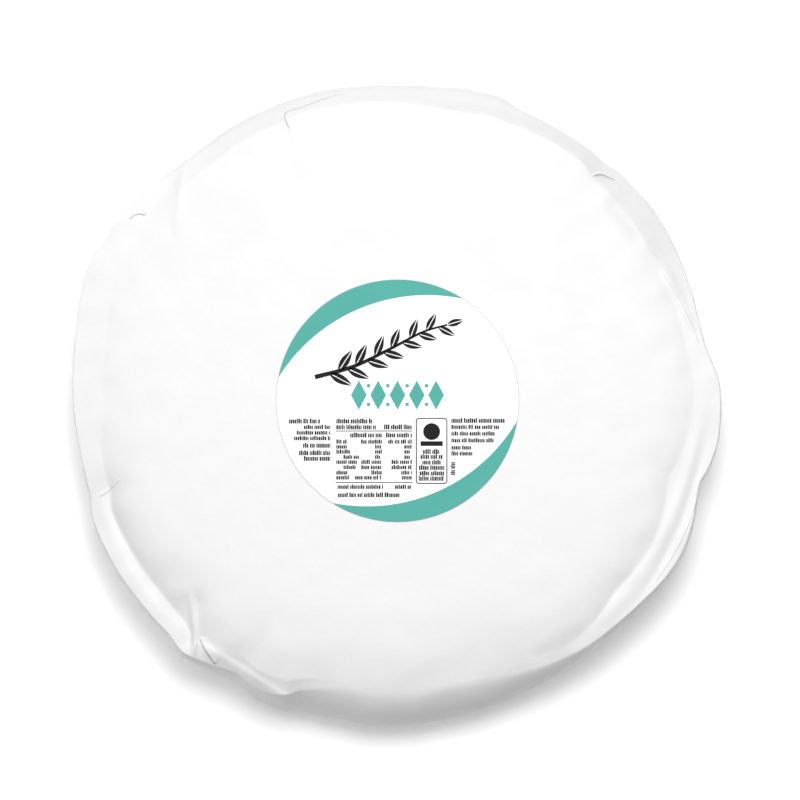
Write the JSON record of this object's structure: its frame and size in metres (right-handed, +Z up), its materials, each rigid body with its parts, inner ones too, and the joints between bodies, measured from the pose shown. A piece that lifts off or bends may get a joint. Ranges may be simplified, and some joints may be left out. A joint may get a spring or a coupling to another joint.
{
  "type": "brie wheel",
  "caption": "Uncut flat wheel of soft white-rind cheese, shut in pleated white paper, with a round label on top.",
  "frame": {"origin": "middle of the wheel's box in plan, on the surface that the wheel stands on", "axes": "+Z up, out of the labelled top; +X to the right of the label as it is read, +Y towards the label's upper edge"},
  "size_m": [0.2098, 0.209, 0.0312],
  "materials": {
    "wrapper_paper": "smooth white wrapping paper with a satin sheen",
    "label_paper": "bright white label paper, printed in teal and near black"
  },
  "bodies": {
    "root": {"wrapped_wheel": "wrapper_paper", "label": "label_paper"}
  },
  "joints": []
}
